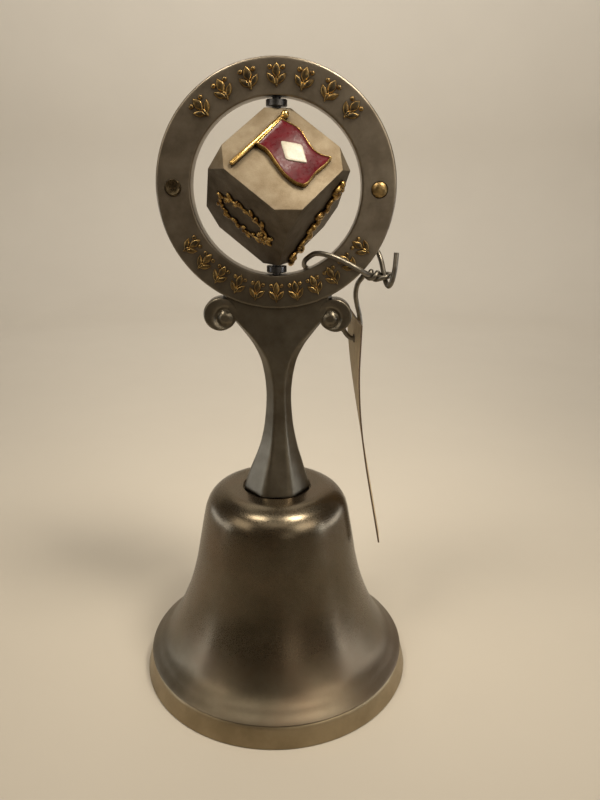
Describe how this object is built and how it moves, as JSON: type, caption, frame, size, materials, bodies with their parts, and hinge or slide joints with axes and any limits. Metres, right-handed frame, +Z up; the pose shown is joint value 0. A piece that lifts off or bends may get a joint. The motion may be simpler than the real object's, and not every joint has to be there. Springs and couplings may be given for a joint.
{
  "type": "hand bell",
  "caption": "Turned metal hand bell with a cast ring handle; a corner-cut cube with relief faces spins in the ring, and a hooked ball clapper hangs inside.",
  "frame": {"origin": "centre of the bell's mouth, on the surface it stands on", "axes": "+Z up along the bell's axis; the ring's flat front and the flag face look along -Y; +X is to the right seen from the front"},
  "size_m": [0.06, 0.06, 0.1289],
  "materials": {
    "bell_brass": "satin antique brass with a brown-grey patina",
    "handle_pewter": "cast zinc alloy with a dark antique pewter finish, satin",
    "cube_metal": "cast zinc alloy, fine matte silver-beige finish",
    "gilt": "antique gilt, bright on the high points and brown in the hollows",
    "red_enamel": "deep red gloss enamel",
    "white_enamel": "ivory white enamel",
    "blued_steel": "blued steel",
    "steel": "plain bright steel",
    "tag_card": "tan card, blank on both sides"
  },
  "bodies": {
    "bell": {"bell_body": "bell_brass", "handle": "handle_pewter", "ring_rivet_left": "gilt", "ring_rivet_right": "gilt", "crown_washer": "steel", "clamp_nut": "steel", "eye_bolt": "steel", "cube_axle": "steel", "upper_bush": "blued_steel", "lower_bush": "blued_steel", "tie_wire": "steel"},
    "cube": {"spinner_cube": "cube_metal", "flag_frame": "gilt", "flag_enamel": "red_enamel", "flag_lozenge": "white_enamel", "relief_wreath": "gilt", "relief_sprig": "gilt", "relief_flower": "gilt", "relief_fir": "gilt", "relief_bell": "gilt"},
    "link": {"clapper_link": "steel"},
    "clapper": {"clapper_rod": "steel", "clapper_ball": "steel"},
    "tag": {"paper_tag": "tag_card"}
  },
  "joints": [
    {"name": "cube_spin", "type": "hinge", "parent": "bell", "child": "cube", "pos_m": [0, 0, 0.106], "axis": [0, 0, 1], "continuous": true},
    {"name": "link_swing", "type": "hinge", "parent": "bell", "child": "link", "pos_m": [0, 0, 0.0328], "axis": [1, 0, 0], "range_deg": [-10, 10]},
    {"name": "clapper_swing", "type": "hinge", "parent": "link", "child": "clapper", "pos_m": [0, 0, 0.0295], "axis": [0, 1, 0], "range_deg": [-41, 41]},
    {"name": "tag_swing", "type": "hinge", "parent": "bell", "child": "tag", "pos_m": [0.0165, 0.00605, 0.0755], "axis": [0.9845, 0.1651, 0.06], "range_deg": [-25, 25]}
  ]
}
